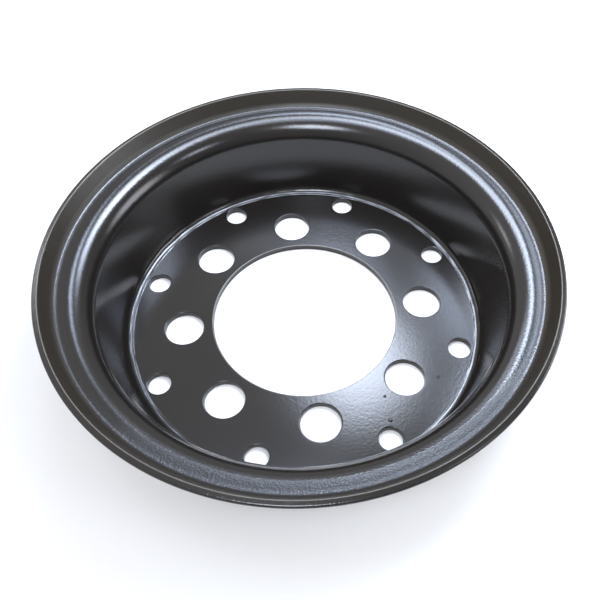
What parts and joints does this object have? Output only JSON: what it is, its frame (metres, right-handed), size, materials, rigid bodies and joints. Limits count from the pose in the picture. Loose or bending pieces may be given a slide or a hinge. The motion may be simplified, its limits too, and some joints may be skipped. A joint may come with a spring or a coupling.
{
  "type": "split rim wheel half",
  "caption": "Dished pressed-steel half of a bolted split rim wheel: flat disc with centre bore, stud and clamp bolt holes, tapered wall and curled tyre flange.",
  "frame": {"origin": "centre of the mating face, on the wheel's axis", "axes": "+Z along the wheel's axis, out of the open side of the dish; +X through the centre of one wheel stud hole"},
  "size_m": [0.4636, 0.4636, 0.1067],
  "materials": {
    "black_paint": "semi-gloss black stoving paint over pressed steel plate, with light orange peel"
  },
  "bodies": {
    "root": {"wheel_half": "black_paint"}
  },
  "joints": []
}
